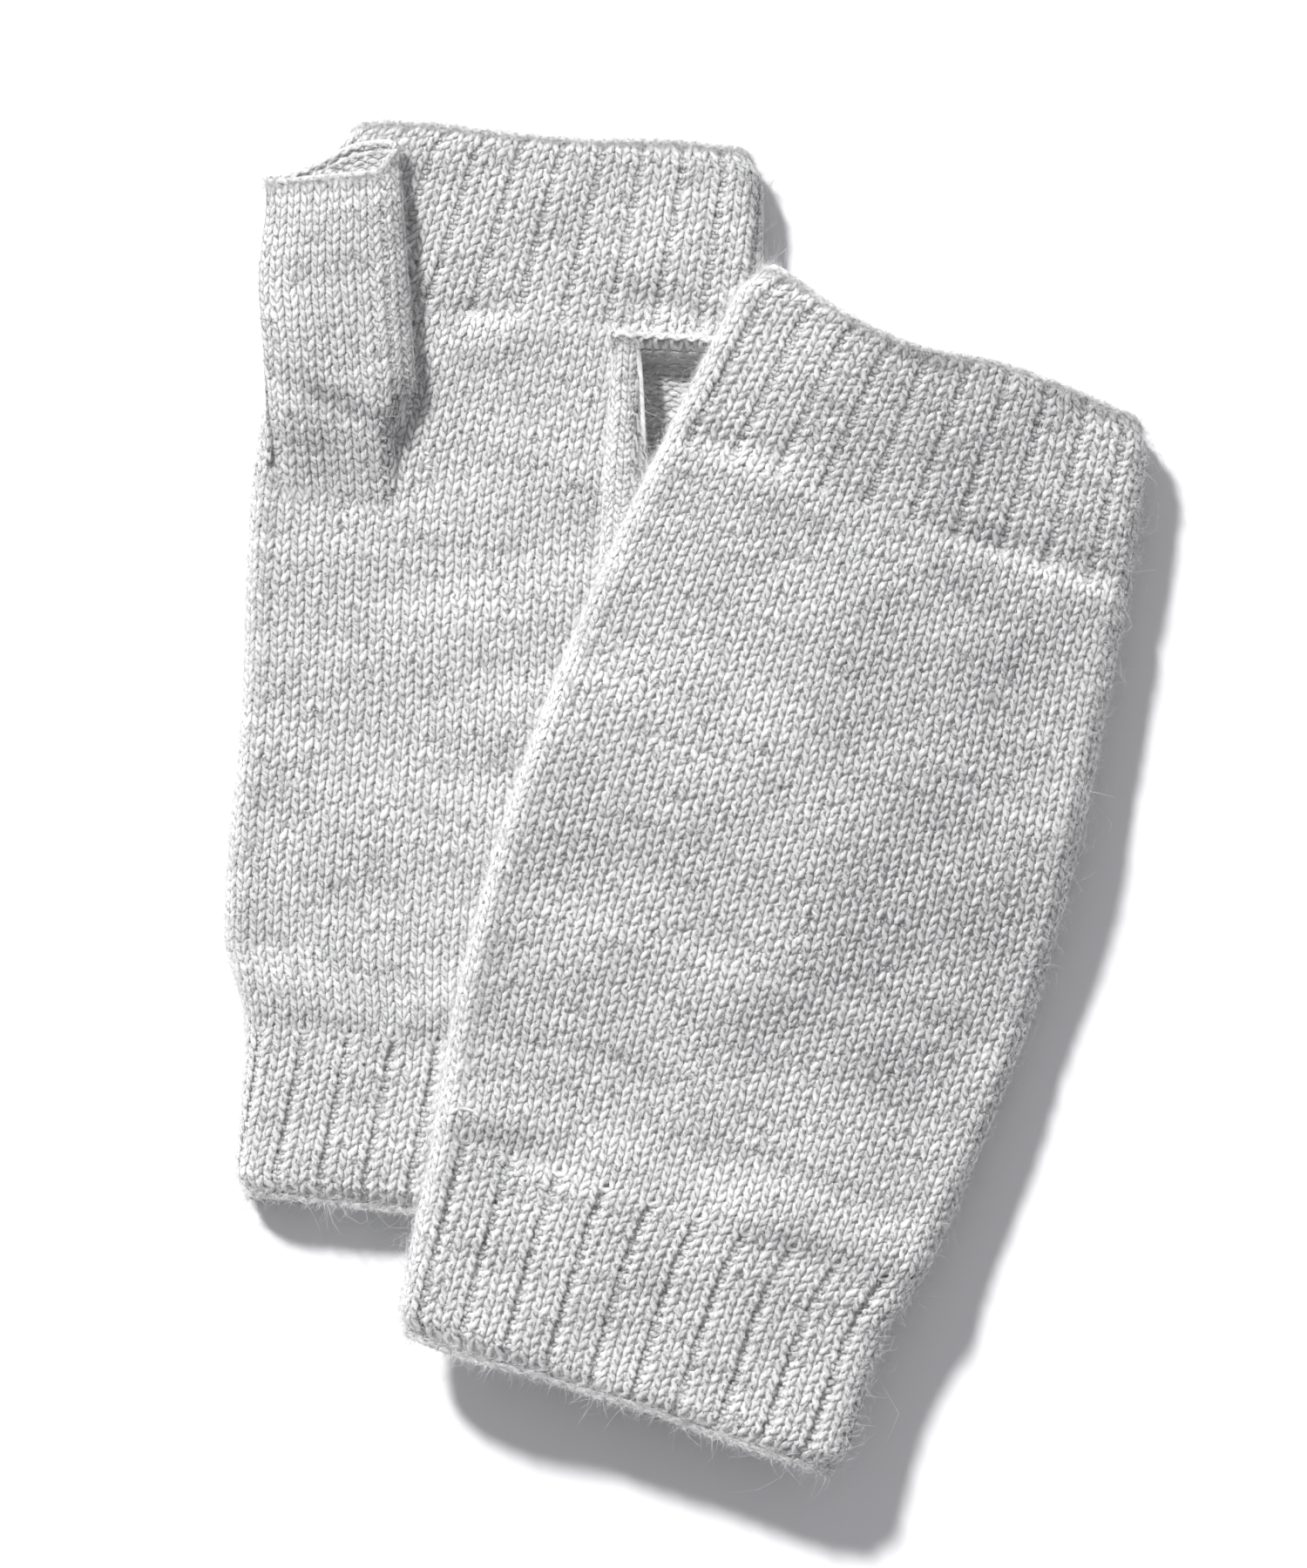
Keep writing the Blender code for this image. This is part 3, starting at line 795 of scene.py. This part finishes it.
def hand_fibres(side, point, flip, seed):
    """Loose fibres of one hand: lying on its face, standing all round it, on its folds and at its rims."""
    wrist = GLOVES[side]["wrist_edge"]
    bands = np.linspace(wrist, FINGER_EDGE, 4)
    all_round = (0, HAND_WALES)
    places = []
    for k, part in enumerate(("wrist", "middle", "fingers")):
        places.append((f"fibres_{part}", (-2, 35), bands[k], bands[k + 1], "face", seed + k, 0.06, 3))
    places.append(("halo", all_round, wrist, FINGER_EDGE, "halo", seed + 5, 0.6, 4))
    for part, fold in (("inner_fold", (-2.2, 2.2)), ("outer_fold", (30.8, 35.2))):
        places.append((f"{part}_fibres", fold, wrist, FINGER_EDGE, "fold", seed + 7, 0.75, 3))
    for part, at in (("wrist_rim", wrist), ("finger_rim", FINGER_EDGE - RIM_FUZZ)):
        places.append((f"{part}_fibres", all_round, at, at + RIM_FUZZ, "rim", seed + 9, 0.7, 4))
    for name, wales, low, high, kind, hair_seed, standing, steps in places:
        obj = fuzz(f"{side}_{name}", point, wales, low, high, kind, flip, hair_seed, standing, steps)
        show(obj, side + "_hand", "edge_yarn" if kind == "rim" else "plain_knit")


def side_seam(side):
    """Linked seam inside the little finger's side: a zigzag of yarn between two rows of stitches."""
    g = GLOVES[side]
    points = []
    along = g["wrist_edge"] + 2.0
    k = 0
    while along < FINGER_EDGE - 2.0:
        across = through(g["outer_side"], along) - 3.1 + 0.35 * (-1) ** k
        x, y = to_world(g["middle"], g["lean"], across, along)
        points.append((x, y, HAND_THICK / 2 + 0.5 * (-1) ** (k // 2) + rest_height(side, x, y)))
        along += COURSE * 0.75
        k += 1
    obj = strand(f"{side}_side_seam_yarn", points, SEAM_R, smooth=4)
    show(obj, side + "_hand", "edge_yarn", f"{side}_side_seam")


def thumb(side):
    """All the pieces of one glove's thumb."""
    g = GLOVES[side]
    flip = 1.0 if side == "left" else -1.0
    courses = g["thumb_courses"]
    step = (THUMB_KNIT - 0.9) / (courses + 0.5)

    def point(wale, up):
        return thumb_point(side, wale, up)

    def to_up(course):
        return THUMB_KNIT - 0.9 - course * step

    def attach(obj, slot, *nodes):
        if nodes:
            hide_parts(*nodes)
        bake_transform(obj)

    all_round = (0, THUMB_WALES)
    knit = knitting(f"{side}_thumb_knit", point, 0, courses, THUMB_WALES, to_up, lambda course: 0.0, YARN,
                    flip, seed=8, coarse=12 if side == "right" else 10)
    attach(knit, "plain_knit")
    ground = backing(f"{side}_thumb_ground", point, 0.5, THUMB_KNIT - 0.4, 30, 72, THUMB_WALES, flip)
    attach(ground, "plain_knit", f"{side}_thumb_tube")
    attach(bound_edge(f"{side}_thumb_edge_chain", point, THUMB_KNIT - 0.2, THUMB_WALES, flip),
           "edge_yarn", f"{side}_thumb_edge")
    attach(fuzz(f"{side}_thumb_fibres", point, all_round, 3.0, THUMB_KNIT, "thumb", flip, 9, 0.35),
           "plain_knit")
    attach(fuzz(f"{side}_thumb_rim_fibres", point, all_round, THUMB_KNIT - RIM_FUZZ, THUMB_KNIT,
                "thumb_rim", flip, 10, 0.7, 4), "edge_yarn")
    thumb_seam(side)


def thumb_seam(side):
    """Join round the root of the thumb, a half ring under the stitches."""
    g = GLOVES[side]
    seam = []
    for k in range(15):
        a = math.pi * (1 + k / 14)
        across, along = 15.2 * math.cos(a), 1.0 + 7.4 * math.sin(a)
        x, y = to_world(g["thumb_root"], g["thumb_lean"], across, along)
        seam.append((x, y, HAND_THICK - 1.5 if side == "left" else LIFT + RAISE + 0.3))
    obj = strand(f"{side}_thumb_seam_yarn", seam, SEAM_R)
    show(obj, side + "_hand", "edge_yarn", f"{side}_thumb_seam")


def darns():
    """Crotch darn of each thumb, and the worked-in end on the right glove's wrist rib."""
    for side in GLOVES:
        g = GLOVES[side]
        points = []
        for k in range(13):
            across = THUMB_WIDTH / 2 + 1.0 + 0.8 * math.sin(k * math.pi / 2)
            along = -7.0 + 0.62 * k
            x, y = to_world(g["thumb_root"], g["thumb_lean"], across, along)
            face = HAND_THICK - 1.0 if side == "left" else rest_height(side, x, y) + 0.35
            points.append((x, y, float(face) + 0.35 * math.cos(k * math.pi) * g["up"]))
        obj = strand(f"{side}_crotch_darn_yarn", points, DARN_R)
        show(obj, side + "_hand", "edge_yarn", f"{side}_crotch_darn")
    g = GLOVES["right"]
    points = []
    for k in range(8):
        turn = math.pi * (0.1 + 0.95 * k / 7)
        across, along = -42.5 + 2.6 * math.cos(turn), WRIST_RIB_TOP + 3 + 1.8 * math.sin(turn)
        x, y = to_world(g["middle"], g["lean"], across, along)
        sink = 1.4 if k in (0, 7) else 0.1
        points.append((x, y, HAND_THICK + 0.8 - sink + float(rest_height("right", x, y))))
    obj = strand("right_darned_end_yarn", points, DARN_R)
    show(obj, "right_hand", "edge_yarn", "right_darned_end")


for side in GLOVES:
    hand(side)
    thumb(side)
    side_seam(side)
darns()


# ---------------------------------------------------------------- stage, light and camera

def stage():
    """Soft white table, one broad sun and an even fill."""
    size = 3.0
    mesh = bpy.data.meshes.new("floor")
    corners = [(-size, -size, 0), (size, -size, 0), (size, size, 0), (-size, size, 0)]
    mesh.from_pydata(corners, [], [(0, 1, 2, 3)])
    floor = bpy.data.objects.new("floor", mesh)
    bpy.context.scene.collection.objects.link(floor)
    mat, _, shader = new_material("white_table", 0.9)
    shader.inputs["Base Color"].default_value = (0.90, 0.90, 0.905, 1)
    mesh.materials.append(mat)

    key = bpy.data.objects.new("key", bpy.data.lights.new("key", "SUN"))
    key.data.energy = SUN_POWER
    key.data.angle = math.radians(SUN_WIDTH)
    azimuth, elevation = math.radians(SUN_AZIMUTH), math.radians(SUN_ELEVATION)
    towards = Vector((math.cos(azimuth) * math.cos(elevation), math.sin(azimuth) * math.cos(elevation),
                      math.sin(elevation)))
    key.rotation_euler = towards.to_track_quat("Z", "Y").to_euler()
    bpy.context.scene.collection.objects.link(key)

    world = bpy.data.worlds.new("studio")
    world.use_nodes = True
    world.node_tree.nodes["Background"].inputs["Color"].default_value = FILL_COLOUR
    world.node_tree.nodes["Background"].inputs["Strength"].default_value = FILL
    bpy.context.scene.world = world


def camera():
    """Straight above the gloves, looking down, so that the frame is FRAME_WIDTH wide on the table."""
    cam = bpy.data.objects.new("camera", bpy.data.cameras.new("camera"))
    cam.data.sensor_width = 36.0
    cam.data.sensor_fit = "HORIZONTAL"
    cam.data.lens = cam.data.sensor_width * CAMERA_AT[2] / FRAME_WIDTH
    cam.location = CAMERA_AT
    bpy.context.scene.collection.objects.link(cam)
    bpy.context.scene.camera = cam


stage()
camera()
bpy.context.scene.view_settings.view_transform = "Standard"
